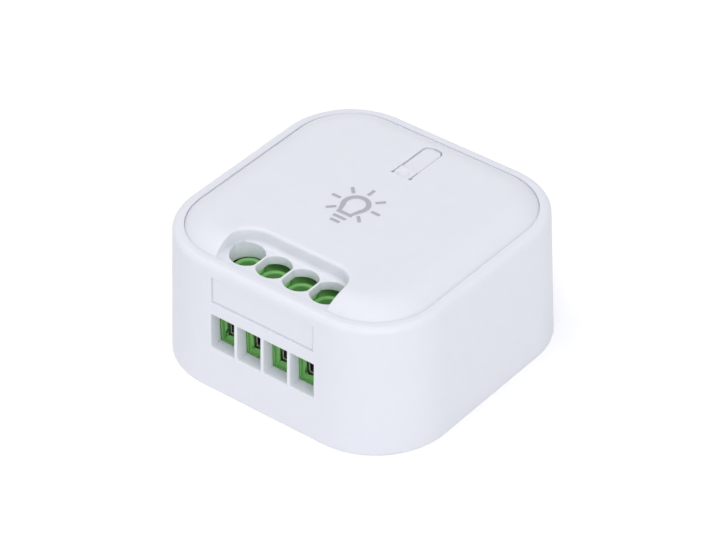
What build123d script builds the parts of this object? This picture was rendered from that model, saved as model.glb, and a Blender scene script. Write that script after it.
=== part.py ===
from build123d import *
import os
from math import acos, cos, hypot, pi, radians, sin, sqrt, tan

os.makedirs("parts", exist_ok=True)

# How far a cut runs past the face that it opens, and how deep a joined piece is rooted
cut_margin = 1.0
root = 0.2

# Casing: a rounded square shell, open above and below, that narrows towards the top
casing_width = 49.4
casing_corner_radius = 13.0
casing_draft = 2.25
casing_wall = 1.8
rim_fillet = 1.1
rim_width = 1.75
ledge_thickness = 0.8
ledge_width = 1.05

# Lid: a crowned panel let into the rim of the casing
lid_gap = 0.08
lid_wall = 1.5
lid_depth = 2.2
lid_shoulder_drop = 0.4
lid_rise = 1.9
lid_slope_width = 4.87

# Trough in the lid, with one screwdriver hole over each terminal screw
trough_drop = 0.7
trough_half_width = 10.45
trough_reach = 3.25
trough_corner_radius = 3.6
trough_floor_fillet = 0.8
trough_lean = 7.0
trough_wall = 1.4
access_radius = 2.75
access_web = 0.36
collar_wall = 0.7
collar_drop = 1.0
collar_start = 40.0
collar_sweep = 200.0

# Main board
main_board_bottom = 5.0
main_board_thickness = 1.6
main_board_gap = 0.34
hole_gap = 0.1

# Terminal block of four poles
pole_count = 4
pole_pitch = 5.08
block_wall_gap = 1.3
block_depth = 9.4
block_lid_gap = 2.8
screw_setback = 3.15
entry_width = 4.4
entry_height = 6.4
entry_rise = 4.15
entry_lip = 0.3
throat_width = 3.2
throat_height = 3.2
throat_rise = 3.7
throat_land = 0.35
front_wall = 1.3
back_wall = 1.95
chamber_width = 4.0

# Wire openings and the label recess in the front wall
tunnel_width = 4.5
tunnel_height = 6.1
tunnel_frame_wall = 0.8
tunnel_frame_gap = 0.15
label_width = 19.6
label_height = 4.65
label_drop = 0.05
label_depth = 0.25
label_groove_width = 0.25
label_groove_depth = 0.2

# Terminal screws
thread_diameter = 2.5
thread_fit = 0.05
shank_gap = 0.1
head_diameter = 3.1
head_height = 1.3
head_chamfer = 0.2
well_gap = 0.1
well_depth = 0.8
well_floor = 0.5
well_collar_wall = 0.8
well_collar_rise = 2.05
well_collar_edge = 0.2
driver_slot_width = 0.6
driver_slot_depth = 0.7

# Rising clamps
clamp_side_gap = 0.15
clamp_end_gap = 0.15
clamp_length = 4.2
clamp_wall = 0.5
clamp_floor = 0.8
clamp_roof = 1.1
clamp_window = 4.4
clamp_rest_gap = 0.1
clamp_travel = 2.4
clamp_top_gap = 0.1
clamp_edge = 0.3

# Contact bars
bar_width = 2.4
bar_thickness = 0.7
bar_rise = 6.3
bar_seat = 0.3
bar_fit = 0.05
pin_width = 1.0
pin_tail = 1.6

# Radio board above the main board
radio_board_thickness = 1.0
radio_board_width = 28.0
radio_board_gap = 1.7
radio_board_corner_radius = 2.0

# Base cover with its posts and snap hooks
base_thickness = 1.6
base_fit = 0.1
post_inset = 5.8
post_diameter = 4.0
peg_diameter = 1.8
peg_rise = 0.8
peg_chamfer = 0.3
base_hook_line = 8.0
base_hook_width = 6.0
base_hook_thickness = 1.2
base_hook_gap = 0.23
base_hook_clearance = 0.2
base_barb_height = 1.2
base_barb_depth = 0.6
barb_land = 0.3
snap_clearance = 0.15

# Snap hooks of the lid
lid_hook_line = 8.0
lid_hook_width = 5.0
lid_hook_thickness = 1.0
lid_hook_gap = 0.15
lid_hook_length = 2.1
lid_barb_depth = 0.7
lid_barb_land = 0.5
lid_barb_gap = 0.05

# Ribs inside the casing that hold the boards
rib_thickness = 1.6
back_rib_offset = 10.0
back_rib_overlap = 1.1
side_rib_overlap = 1.4
side_rib_height = 3.9

# Pairing key, its slot, hinge and stem
key_centre = 0.1
key_width = 3.1
key_length = 6.55
key_setback = 3.92
key_corner_radius = 1.2
key_gap = 0.22
key_sink = 0.25
hinge_thickness = 0.6
hinge_length = 0.8
slot_lead = 2.1
slot_end_diameter = 0.6
stem_diameter = 1.6
stem_length = 0.5
stem_gap = 0.05

# Status light: dimple in the lid, light guide and its holder
dimple_lead = 1.6
dimple_diameter = 2.0
dimple_depth = 0.35
guide_diameter = 1.8
guide_fit = 0.05
guide_flange_diameter = 2.6
guide_flange_height = 0.8
guide_light_gap = 0.3
holder_wall = 0.45
holder_depth = 1.9
light_length = 2.0
light_width = 1.25
light_height = 0.8

# Push switch under the key
switch_arm = 4.9
switch_width = 4.5
switch_height = 3.1
switch_cover_thickness = 0.3
switch_cover_gap = 0.2
switch_leg = 0.8
plunger_diameter = 2.0
plunger_fit = 0.05
plunger_proud = 0.9
plunger_depth = 1.25
plunger_travel = 0.25
plunger_room = 0.1

# Header between the boards
header_count = 7
header_pitch = 2.0
header_setback = 1.4
header_light_gap = 0.35
header_pin_width = 0.5
header_pin_fit = 0.05
header_block_width = 2.0
header_block_height = 2.0
header_proud = 1.0
header_tail = 1.2

# Relay
relay_length = 17.6
relay_width = 10.1
relay_height = 12.3
relay_gap = 1.25
relay_side = 1.4
relay_edge = 0.5
relay_pin_width = 0.9
relay_pin_thickness = 0.4
relay_pin_tail = 1.6
relay_pin_inset = 1.3
relay_coil_span = 7.6
relay_contact_count = 3
relay_contact_pitch = 5.0

# Film capacitor
film_length = 13.0
film_width = 6.0
film_height = 12.0
film_gap = 1.3
film_edge = 0.5
film_lead_span = 10.0
lead_diameter = 0.7
lead_tail = 1.5

# Varistor, a coated disc that stands on its leads
varistor_diameter = 7.4
varistor_thickness = 3.4
varistor_gap = 0.8
varistor_margin = 2.4
varistor_side_gap = 1.5
varistor_edge = 1.0
varistor_lift = 1.0
varistor_lead_span = 5.0
varistor_lead_offset = 0.7

# Smoothing capacitor, lying under the radio board
can_diameter = 8.0
can_length = 11.5
can_gap = 0.2
can_offset = 8.0
can_edge = 0.6
can_lead_span = 3.5
can_lead_reach = 2.0

# Fusible resistor, lying
resistor_diameter = 2.8
resistor_length = 8.0
resistor_gap = 1.7
resistor_header_gap = 1.5
resistor_lift = 0.4
resistor_edge = 0.6
resistor_lead_reach = 1.6

# Choke
choke_diameter = 7.0
choke_height = 4.2
choke_flange = 0.9
choke_core_diameter = 4.0
choke_winding_diameter = 6.4
choke_margin = 2.4

# Small parts soldered to the boards
bridge_length = 4.7
bridge_width = 4.0
bridge_height = 2.5
converter_length = 4.9
converter_width = 3.9
converter_height = 1.6
chip_gap = 0.6
foot_count = 4
foot_pitch = 1.2
foot_width = 0.4
foot_reach = 1.0
foot_height = 0.6
radio_chip_width = 5.0
radio_chip_height = 0.9
radio_chip_setback = 5.5
radio_side = -7.5
crystal_length = 3.2
crystal_width = 2.5
crystal_height = 0.8
crystal_gap = 1.2
antenna_length = 7.0
antenna_width = 2.0
antenna_height = 1.1
antenna_offset = 8.5
antenna_edge = 1.0


def drawn_in(height):
    """How far the draft has drawn the casing in at a height."""
    return height * tan(radians(casing_draft))


def wall_inner(height):
    """Half the inner width of the casing at a height."""
    return casing_width / 2 - casing_wall - drawn_in(height)


# Heights that follow from the sizes above
main_board_top = main_board_bottom + main_board_thickness
wire_height = main_board_top + entry_rise
throat_bottom = main_board_top + throat_rise - throat_height / 2
bar_top = main_board_top + bar_rise
bar_bottom = bar_top - bar_thickness
clamp_window_top = bar_top + clamp_rest_gap
clamp_window_bottom = clamp_window_top - clamp_window
chamber_ceiling = clamp_window_top + clamp_roof + clamp_travel + clamp_top_gap
well_bottom = chamber_ceiling + well_floor
block_top = well_bottom + well_depth
lid_base = block_top + block_lid_gap
casing_height = lid_base + lid_depth
lid_shoulder = casing_height - lid_shoulder_drop
lid_crown = casing_height + lid_rise
lid_ceiling = lid_crown - lid_wall
ledge_bottom = lid_base - ledge_thickness
trough_floor = casing_height - trough_drop
key_underside = lid_ceiling - key_sink
plunger_top = key_underside - stem_length - stem_gap
switch_top = plunger_top - plunger_proud - switch_cover_thickness
radio_board_top = switch_top - switch_height
radio_board_bottom = radio_board_top - radio_board_thickness
light_top = radio_board_top + light_height

# Places that follow from the sizes above
rim_half = casing_width / 2 - drawn_in(casing_height) - rim_width
rim_corner_radius = casing_corner_radius - drawn_in(casing_height) - rim_width
lid_half = rim_half - lid_gap
lid_corner_radius = rim_corner_radius - lid_gap
ledge_half = rim_half - ledge_width
block_front = -(wall_inner(block_top) - block_wall_gap)
block_back = block_front + block_depth
block_half = pole_count * pole_pitch / 2
pole_line = block_front + screw_setback
pole_places = [(index - (pole_count - 1) / 2) * pole_pitch for index in range(pole_count)]
chamber_front = block_front + front_wall
chamber_back = block_back - back_wall
clamp_half = chamber_width / 2 - clamp_side_gap
clamp_front = chamber_front + clamp_end_gap
bar_back = chamber_back - bar_fit
trough_back = pole_line + trough_reach
main_board_half = wall_inner(main_board_top) - main_board_gap
post_offset = main_board_half - post_inset
relay_line = block_back + relay_gap + relay_width / 2
relay_offset = -relay_side - relay_length / 2
varistor_line = block_back + varistor_gap + varistor_diameter / 2
varistor_offset = main_board_half - varistor_margin - varistor_thickness / 2
film_line = block_back + film_gap + film_width / 2
film_offset = varistor_offset - varistor_thickness / 2 - varistor_side_gap - film_length / 2
radio_board_back = wall_inner(radio_board_top) - radio_board_gap
key_end = lid_half - key_setback
key_root = key_end - key_length
switch_line = key_root + switch_arm
dimple_line = key_root - dimple_lead
slot_start = key_root - slot_lead
header_line = dimple_line - light_width / 2 - header_light_gap - header_block_width / 2
radio_board_front = header_line - header_setback
header_places = [(index - (header_count - 1) / 2) * header_pitch for index in range(header_count)]
can_line = header_line + header_block_width / 2 + can_gap + can_diameter / 2
can_height = main_board_top + can_diameter / 2
can_start = can_offset - can_length / 2
resistor_offset = -header_count * header_pitch / 2 - resistor_header_gap - resistor_diameter / 2
resistor_line = relay_line + relay_width / 2 + resistor_gap + resistor_lead_reach + resistor_length / 2
choke_offset = main_board_half - choke_margin - choke_diameter / 2
choke_line = (varistor_line + varistor_diameter / 2 + can_line - can_diameter / 2) / 2
chip_line = (film_line + film_width / 2 + header_line - header_block_width / 2) / 2
converter_offset = choke_offset - choke_diameter / 2 - chip_gap - converter_length / 2
bridge_offset = converter_offset - converter_length / 2 - 2 * chip_gap - bridge_length / 2
radio_chip_line = radio_board_front + radio_chip_setback
crystal_line = radio_chip_line + radio_chip_width / 2 + crystal_gap + crystal_width / 2
antenna_line = radio_board_back - antenna_edge - antenna_width / 2


def block(x_ends, y_ends, z_ends):
    """A plain block between two limits on each axis, given in either order."""
    sizes = [abs(ends[1] - ends[0]) for ends in (x_ends, y_ends, z_ends)]
    centre = [(ends[1] + ends[0]) / 2 for ends in (x_ends, y_ends, z_ends)]
    return Pos(*centre) * Box(*sizes)


def around(middle, width):
    """The two ends of a width about its middle."""
    return (middle - width / 2, middle + width / 2)


def upright(x, y, diameter, low, high):
    """A cylinder that stands between two heights."""
    return Pos(x, y, (low + high) / 2) * Cylinder(diameter / 2, high - low)


def along(start, end, diameter):
    """A straight round rod between two points."""
    run = Vector(*end) - Vector(*start)
    return extrude(Plane(origin=start, z_dir=run) * Circle(diameter / 2), amount=run.length)


def tapered_block(inset, height):
    """The outline of the casing, drawn in by an inset and raised with its draft."""
    width = casing_width - 2 * inset
    outline = RectangleRounded(width, width, casing_corner_radius - inset)
    return extrude(outline, amount=height, taper=casing_draft)


def rounded_plate(half, corner_radius, low, high):
    """A rounded square plate between two heights."""
    return Pos(0, 0, low) * extrude(RectangleRounded(2 * half, 2 * half, corner_radius), amount=high - low)


def crowned_block(inset, base):
    """The crowned form of the lid, drawn in by an inset, from a base height upwards."""
    rise = lid_crown - lid_shoulder
    outer_radius = (lid_slope_width ** 2 + rise ** 2) / (2 * rise)
    slope_centre = lid_crown - outer_radius
    centre = lid_half - lid_corner_radius
    radius = outer_radius - inset
    reach = lid_corner_radius - inset
    slope = lid_slope_width - inset
    flat = reach - slope
    crown = slope_centre + radius
    shoulder = slope_centre + sqrt(radius ** 2 - slope ** 2)
    middle_angle = (acos(slope / radius) + pi / 2) / 2
    middle = (flat + radius * cos(middle_angle), slope_centre + radius * sin(middle_angle))
    outline = [Line((flat, crown), (0, crown)), Line((0, crown), (0, base)), Line((0, base), (reach, base))]
    outline += [Line((reach, base), (reach, shoulder))]
    outline += [ThreePointArc((reach, shoulder), middle, (flat, crown))]
    profile = Plane.XZ * make_face(outline)
    side = Pos(centre, centre, 0) * extrude(profile, amount=2 * centre)
    corner = Pos(centre, centre, 0) * revolve(profile, Axis.Z, 90)
    form = block((-centre, centre), (-centre, centre), (base, crown))
    for turn in range(4):
        form += Rot(0, 0, 90 * turn) * side
        form += Rot(0, 0, 90 * turn) * corner
    return form


def tongue(spread, low, high):
    """The outline of the pairing key, spread on its sides and free end, between two heights."""
    half = key_width / 2 + spread
    length = key_length + spread
    outline = Pos(key_centre, key_root + length / 2) * Rectangle(2 * half, length)
    outline = fillet(outline.vertices().group_by(Axis.Y)[-1], key_corner_radius + spread)
    return Pos(0, 0, low) * extrude(outline, amount=high - low)


def barb(outline, line, width):
    """The catch of a snap hook: an outline of x and z points, as wide as the hook."""
    profile = Plane.XZ * make_face(Polyline(*outline, close=True))
    return Pos(0, line + width / 2, 0) * extrude(profile, amount=width)


def outer_edges(form):
    """The upright edges and the top edges of a plain block."""
    return form.edges().filter_by(Axis.Z) + form.edges().group_by(Axis.Z)[-1]


def both_sides(form):
    """A form and its mirror image on the other side of the part."""
    return form + mirror(form, Plane.YZ)


def bent_lead(start, reach, low, diameter):
    """A component lead that runs straight out and then down through the board."""
    corner = (start[0] + reach[0], start[1] + reach[1], start[2])
    elbow = Pos(*corner) * Sphere(diameter / 2)
    return along(start, corner, diameter) + elbow + upright(corner[0], corner[1], diameter, low, start[2])


def footed_chip(offset, line, length, width, height):
    """A moulded chip with a row of feet along each long side."""
    body = block(around(offset, length), around(line, width), (main_board_top, main_board_top + height))
    body = chamfer(body.edges().group_by(Axis.Z)[-1], foot_width)
    for index in range(foot_count):
        place = offset + (index - (foot_count - 1) / 2) * foot_pitch
        body += block(around(place, foot_width), around(line, width + 2 * foot_reach),
                      (main_board_top, main_board_top + foot_height))
    return body


def save(shape, name):
    """Write one piece under its own name."""
    shape.label = name
    export_step(shape, "parts/" + name + ".step")


# Casing
casing = tapered_block(0, casing_height)
casing = fillet(casing.edges().group_by(Axis.Z)[-1], rim_fillet)
casing -= tapered_block(casing_wall, ledge_bottom)
casing -= rounded_plate(rim_half, rim_corner_radius, lid_base, casing_height + cut_margin)
casing -= rounded_plate(ledge_half, rim_corner_radius - ledge_width, ledge_bottom - cut_margin, casing_height)
casing += block(around(0, 2 * block_half + tunnel_frame_wall),
                (-casing_width / 2 + casing_wall, block_front - tunnel_frame_gap),
                around(wire_height, tunnel_height + 2 * tunnel_frame_wall))
for place in pole_places:
    casing -= block(around(place, tunnel_width), (-casing_width, block_front),
                    around(wire_height, tunnel_height))
label_top = lid_base - label_drop
label_cut = block(around(0, label_width), (-casing_width, block_front), (label_top - label_height, label_top))
casing -= label_cut - tapered_block(label_depth, casing_height)
label_field = block(around(0, label_width - 2 * label_groove_width), (-casing_width, block_front),
                    (label_top - label_height + label_groove_width, label_top))
casing -= label_cut - label_field - tapered_block(label_depth + label_groove_depth, casing_height)
rib_root = casing_width / 2 - casing_wall
for side in (-1, 1):
    casing += block(around(side * back_rib_offset, rib_thickness),
                    (radio_board_back - back_rib_overlap, rib_root), (main_board_top, radio_board_bottom))
casing += both_sides(block((main_board_half - side_rib_overlap, rib_root), around(0, rib_thickness),
                           (main_board_top, main_board_top + side_rib_height)))
base_hook_top = main_board_bottom - base_hook_clearance
base_hook_outer = wall_inner(base_hook_top) - base_hook_gap
base_barb_bottom = base_hook_top - base_barb_height
for line in (-base_hook_line, base_hook_line):
    casing -= both_sides(block((base_hook_outer, base_hook_outer + base_barb_depth + snap_clearance),
                               around(line, base_hook_width + 2 * snap_clearance),
                               (base_barb_bottom - snap_clearance, base_hook_top + snap_clearance)))
save(casing, "casing")

# Base cover
base_cover = tapered_block(casing_wall + base_fit, base_thickness)
for x in (-post_offset, post_offset):
    for y in (-post_offset, post_offset):
        peg = upright(x, y, peg_diameter, main_board_bottom - root, main_board_top + peg_rise)
        peg = chamfer(peg.edges().group_by(Axis.Z)[-1], peg_chamfer)
        base_cover += upright(x, y, post_diameter, base_thickness - root, main_board_bottom) + peg
for line in (-base_hook_line, base_hook_line):
    arm = block((base_hook_outer - base_hook_thickness, base_hook_outer), around(line, base_hook_width),
                (base_thickness - root, base_hook_top))
    arm += barb([(base_hook_outer, base_barb_bottom), (base_hook_outer + base_barb_depth, base_barb_bottom),
                 (base_hook_outer + base_barb_depth, base_barb_bottom + barb_land),
                 (base_hook_outer, base_hook_top)], line, base_hook_width)
    base_cover += both_sides(arm)
save(base_cover, "base_cover")

# Lid
lid_outer = crowned_block(0, lid_base)
lid_shell = lid_outer - crowned_block(lid_wall, lid_base)
tub_length = lid_half + trough_back + trough_wall + trough_corner_radius
tub_width = 2 * (trough_half_width + trough_wall)
tub_outline = RectangleRounded(tub_width, tub_length, trough_corner_radius + trough_wall)
tub = extrude(tub_outline, amount=lid_ceiling - lid_base)
tub = Pos(0, trough_back + trough_wall - tub_length / 2, lid_base) * tub
lid = lid_shell + (tub & lid_outer)
trough_length = trough_back + casing_width / 2 + trough_corner_radius
trough_outline = RectangleRounded(2 * trough_half_width, trough_length, trough_corner_radius)
trough = extrude(trough_outline, amount=lid_crown - trough_floor + cut_margin, taper=-trough_lean)
trough = fillet(trough.edges().group_by(Axis.Z)[0], trough_floor_fillet)
lid -= Pos(0, trough_back - trough_length / 2, trough_floor) * trough
access_ends = (lid_base - cut_margin, trough_floor + trough_floor_fillet + cut_margin)
access = upright(pole_places[0], pole_line, 2 * access_radius, *access_ends)
for place in pole_places[1:]:
    access += upright(place, pole_line, 2 * access_radius, *access_ends)
for place in pole_places[1:]:
    access -= block(around(place - pole_pitch / 2, access_web), around(pole_line, 2 * access_radius),
                    access_ends)
lid -= access
collar_profile = Rectangle(collar_wall, collar_drop)
collar_profile = Pos(access_radius + collar_wall / 2, lid_base - collar_drop / 2) * collar_profile
collar = revolve(Plane.XZ * collar_profile, Axis.Z, collar_sweep)
lid += Pos(pole_places[0], pole_line, 0) * Rot(0, 0, collar_start) * collar
slot = tongue(key_gap, lid_base, lid_crown + cut_margin)
slot += block(around(key_centre, key_width + 2 * key_gap), (slot_start, key_root + root),
              (lid_base, lid_crown + cut_margin))
slot -= block(around(key_centre, key_width), (slot_start - cut_margin, key_root),
              (lid_base - cut_margin, lid_crown + 2 * cut_margin))
for side in (-1, 1):
    slot += upright(key_centre + side * (key_width + key_gap) / 2, slot_start, slot_end_diameter,
                    lid_base, lid_crown + cut_margin)
lid -= slot
holder_bottom = lid_ceiling - holder_depth
guide_bore = guide_diameter + 2 * guide_fit
lid += upright(key_centre, dimple_line, guide_bore + 2 * holder_wall, holder_bottom, lid_ceiling + root)
lid -= upright(key_centre, dimple_line, guide_bore, holder_bottom - cut_margin, lid_ceiling)
lid -= upright(key_centre, dimple_line, dimple_diameter, lid_crown - dimple_depth, lid_crown + cut_margin)
lid_hook_outer = ledge_half - lid_hook_gap
lid_hook_bottom = lid_base - lid_hook_length
lid_barb_top = ledge_bottom - lid_barb_gap
for line in (-lid_hook_line, lid_hook_line):
    arm = block((lid_hook_outer - lid_hook_thickness, lid_hook_outer), around(line, lid_hook_width),
                (lid_base - root, lid_shoulder)) & (lid_outer + Pos(0, 0, -lid_hook_length) * lid_outer)
    arm += block((lid_hook_outer - lid_hook_thickness, lid_hook_outer), around(line, lid_hook_width),
                 (lid_hook_bottom, lid_base))
    arm += barb([(lid_hook_outer, lid_hook_bottom),
                 (lid_hook_outer + lid_barb_depth, lid_barb_top - lid_barb_land),
                 (lid_hook_outer + lid_barb_depth, lid_barb_top), (lid_hook_outer, lid_barb_top)],
                line, lid_hook_width)
    lid += both_sides(arm)
save(lid, "lid")

# Pairing key: the tongue of the lid that flexes on a thinned root
key = lid_shell & tongue(0, lid_base, lid_crown + cut_margin)
key = Pos(0, 0, -key_sink) * key
key -= block(around(key_centre, 2 * key_width), (key_root - cut_margin, key_root + hinge_length),
             (lid_base - cut_margin, lid_crown - key_sink - hinge_thickness))
key += upright(key_centre, switch_line, stem_diameter, plunger_top + stem_gap, key_underside + root)
save(key, "pairing_key")

# Light guide
light_guide = upright(key_centre, dimple_line, guide_diameter, light_top + guide_light_gap, lid_ceiling)
light_guide += upright(key_centre, dimple_line, guide_flange_diameter, light_top + guide_light_gap,
                       light_top + guide_light_gap + guide_flange_height)
save(light_guide, "light_guide")

# Terminal housing
housing = block((-block_half, block_half), (block_front, block_back), (main_board_top, block_top))
well_diameter = head_diameter + 2 * well_gap
well_top = block_top + well_collar_rise
throat_start = block_front + entry_lip
throat_end = chamber_front - throat_land
for place in pole_places:
    housing -= block(around(place, chamber_width), (chamber_front, chamber_back),
                     (main_board_top - cut_margin, chamber_ceiling))
    housing -= block(around(place, entry_width), (block_front - cut_margin, throat_start),
                     around(wire_height, entry_height))
    throat_middle = throat_bottom + throat_height / 2
    wide = Plane(origin=(place, throat_start, wire_height), z_dir=(0, 1, 0), x_dir=(1, 0, 0))
    narrow = Plane(origin=(place, throat_end, throat_middle), z_dir=(0, 1, 0), x_dir=(1, 0, 0))
    narrow_outline = narrow * Rectangle(throat_width, throat_height)
    housing -= loft([wide * Rectangle(entry_width, entry_height), narrow_outline])
    housing -= block(around(place, throat_width), (throat_end, chamber_front + root),
                     (throat_bottom, throat_bottom + throat_height))
    housing -= block(around(place, bar_width + 2 * bar_fit),
                     (chamber_front - bar_seat - bar_fit, chamber_front + root),
                     (bar_bottom - bar_fit, bar_top + bar_fit))
    collar = upright(place, pole_line, well_diameter + 2 * well_collar_wall, block_top - root, well_top)
    collar -= upright(place, pole_line, well_diameter, block_top - root, well_top)
    housing += chamfer(collar.edges().group_by(Axis.Z)[-1], well_collar_edge)
    housing -= upright(place, pole_line, well_diameter, well_bottom, well_top)
    housing -= upright(place, pole_line, thread_diameter + 2 * shank_gap,
                       chamber_ceiling - root, well_bottom + root)
save(housing, "terminal_housing")

# Screws, rising clamps and contact bars of the four poles
for index, place in enumerate(pole_places):
    number = str(index + 1)
    screw = upright(place, pole_line, head_diameter, well_bottom, well_bottom + head_height)
    screw = chamfer(screw.edges().group_by(Axis.Z)[-1], head_chamfer)
    screw += upright(place, pole_line, thread_diameter, bar_top + bar_fit, well_bottom + root)
    screw -= block(around(place, driver_slot_width), around(pole_line, 2 * head_diameter),
                   (well_bottom + head_height - driver_slot_depth, block_top))
    save(screw, "terminal_screw_" + number)

    clamp = block(around(place, 2 * clamp_half), (clamp_front, clamp_front + clamp_length),
                  (clamp_window_bottom - clamp_floor, clamp_window_top + clamp_roof))
    clamp = fillet(clamp.edges().filter_by(Axis.Y), clamp_edge)
    clamp -= block(around(place, 2 * (clamp_half - clamp_wall)), (chamber_front, chamber_back),
                   (clamp_window_bottom, clamp_window_top))
    clamp -= upright(place, pole_line, thread_diameter + 2 * thread_fit, clamp_window_top - root,
                     clamp_window_top + clamp_roof + root)
    save(clamp, "wire_clamp_" + number)

    bar = block(around(place, bar_width), (chamber_front - bar_seat, bar_back), (bar_bottom, bar_top))
    bar += block(around(place, bar_width), (bar_back - bar_thickness, bar_back), (main_board_top, bar_top))
    bar += block(around(place, pin_width), (bar_back - bar_thickness, bar_back),
                 (main_board_bottom - pin_tail, main_board_top + root))
    save(bar, "contact_bar_" + number)

# Places of all leads that pass through the main board, with the hole that each one needs
board_holes = []
for place in pole_places:
    board_holes.append((place, bar_back - bar_thickness / 2, hypot(pin_width, bar_thickness)))
relay_pin_places = []
relay_left = relay_offset - relay_length / 2 + relay_pin_inset
relay_right = relay_offset + relay_length / 2 - relay_pin_inset
for side in (-1, 1):
    relay_pin_places.append((relay_left, relay_line + side * relay_coil_span / 2))
for index in range(relay_contact_count):
    relay_pin_places.append((relay_right - index * relay_contact_pitch, relay_line + relay_coil_span / 2))
for x, y in relay_pin_places:
    board_holes.append((x, y, hypot(relay_pin_width, relay_pin_thickness)))
film_lead_places = [(film_offset + side * film_lead_span / 2, film_line) for side in (-1, 1)]
varistor_lead_places = [(varistor_offset + side * varistor_lead_offset,
                         varistor_line + side * varistor_lead_span / 2) for side in (-1, 1)]
can_lead_places = [(can_start - can_lead_reach, can_line + side * can_lead_span / 2) for side in (-1, 1)]
resistor_lead_places = [(resistor_offset, resistor_line + side * (resistor_length / 2 + resistor_lead_reach))
                        for side in (-1, 1)]
for x, y in film_lead_places + varistor_lead_places + can_lead_places + resistor_lead_places:
    board_holes.append((x, y, lead_diameter))
for place in header_places:
    board_holes.append((place, header_line, hypot(header_pin_width, header_pin_width)))
for x in (-post_offset, post_offset):
    for y in (-post_offset, post_offset):
        board_holes.append((x, y, peg_diameter))

# Main board
main_board_radius = casing_corner_radius - casing_wall - drawn_in(main_board_top) - main_board_gap
main_board = rounded_plate(main_board_half, main_board_radius, main_board_bottom, main_board_top)
for x, y, width in board_holes:
    main_board -= upright(x, y, width + 2 * hole_gap, main_board_bottom - root, main_board_top + root)
save(main_board, "main_board")

# Radio board
radio_board_length = radio_board_back - radio_board_front
radio_outline = RectangleRounded(radio_board_width, radio_board_length, radio_board_corner_radius)
radio_board = extrude(radio_outline, amount=radio_board_thickness)
radio_board = Pos(0, radio_board_front + radio_board_length / 2, radio_board_bottom) * radio_board
for place in header_places:
    radio_board -= upright(place, header_line, hypot(header_pin_width, header_pin_width) + 2 * hole_gap,
                           radio_board_bottom - root, radio_board_top + root)
save(radio_board, "radio_board")

# Header between the boards
header_block = block(around(0, header_count * header_pitch), around(header_line, header_block_width),
                     (main_board_top, main_board_top + header_block_height))
header_pins = []
for place in header_places:
    header_block -= block(around(place, header_pin_width + 2 * header_pin_fit),
                          around(header_line, header_pin_width + 2 * header_pin_fit),
                          (main_board_top - root, main_board_top + header_block_height + root))
    header_pins.append(block(around(place, header_pin_width), around(header_line, header_pin_width),
                             (main_board_bottom - header_tail, radio_board_top + header_proud)))
save(header_block, "header_block")
save(Compound(header_pins), "header_pins")

# Relay
relay_case = block(around(relay_offset, relay_length), around(relay_line, relay_width),
                   (main_board_top, main_board_top + relay_height))
relay_case = fillet(outer_edges(relay_case), relay_edge)
save(relay_case, "relay_case")
relay_pins = [block(around(x, relay_pin_width), around(y, relay_pin_thickness),
                    (main_board_bottom - relay_pin_tail, main_board_top)) for x, y in relay_pin_places]
save(Compound(relay_pins), "relay_pins")

# Film capacitor
film_capacitor = block(around(film_offset, film_length), around(film_line, film_width),
                       (main_board_top, main_board_top + film_height))
film_capacitor = fillet(outer_edges(film_capacitor), film_edge)
for x, y in film_lead_places:
    film_capacitor += upright(x, y, lead_diameter, main_board_bottom - lead_tail, main_board_top + root)
save(film_capacitor, "film_capacitor")

# Varistor
varistor_height = main_board_top + varistor_lift + varistor_diameter / 2
varistor = Pos(varistor_offset, varistor_line, varistor_height) * Rot(0, 90, 0) * Cylinder(
    varistor_diameter / 2, varistor_thickness)
varistor = chamfer(varistor.edges().filter_by(GeomType.CIRCLE), varistor_edge)
for x, y in varistor_lead_places:
    varistor += upright(x, y, lead_diameter, main_board_bottom - lead_tail, varistor_height)
save(varistor, "varistor")

# Smoothing capacitor
can = Pos(can_offset, can_line, can_height) * Rot(0, 90, 0) * Cylinder(can_diameter / 2, can_length)
can = chamfer(can.edges().filter_by(GeomType.CIRCLE), can_edge)
for x, y in can_lead_places:
    can += bent_lead((can_start + root, y, can_height), (x - can_start - root, 0),
                     main_board_bottom - lead_tail, lead_diameter)
save(can, "smoothing_capacitor")

# Fusible resistor
resistor_height = main_board_top + resistor_lift + resistor_diameter / 2
resistor = Pos(resistor_offset, resistor_line, resistor_height) * Rot(90, 0, 0) * Cylinder(
    resistor_diameter / 2, resistor_length)
resistor = chamfer(resistor.edges().filter_by(GeomType.CIRCLE), resistor_edge)
for side, (x, y) in zip((-1, 1), resistor_lead_places):
    lead_start = resistor_line + side * (resistor_length / 2 - root)
    resistor += bent_lead((x, lead_start, resistor_height), (0, y - lead_start),
                          main_board_bottom - lead_tail, lead_diameter)
save(resistor, "fusible_resistor")

# Choke: a flanged core with its winding
choke_top = main_board_top + choke_height
choke_core = upright(choke_offset, choke_line, choke_core_diameter, main_board_top, choke_top)
choke_core += upright(choke_offset, choke_line, choke_diameter, main_board_top, main_board_top + choke_flange)
choke_core += upright(choke_offset, choke_line, choke_diameter, choke_top - choke_flange, choke_top)
save(choke_core, "choke_core")
choke_winding = upright(choke_offset, choke_line, choke_winding_diameter, main_board_top + choke_flange,
                        choke_top - choke_flange)
choke_winding -= upright(choke_offset, choke_line, choke_core_diameter, main_board_top, choke_top)
save(choke_winding, "choke_winding")

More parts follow.
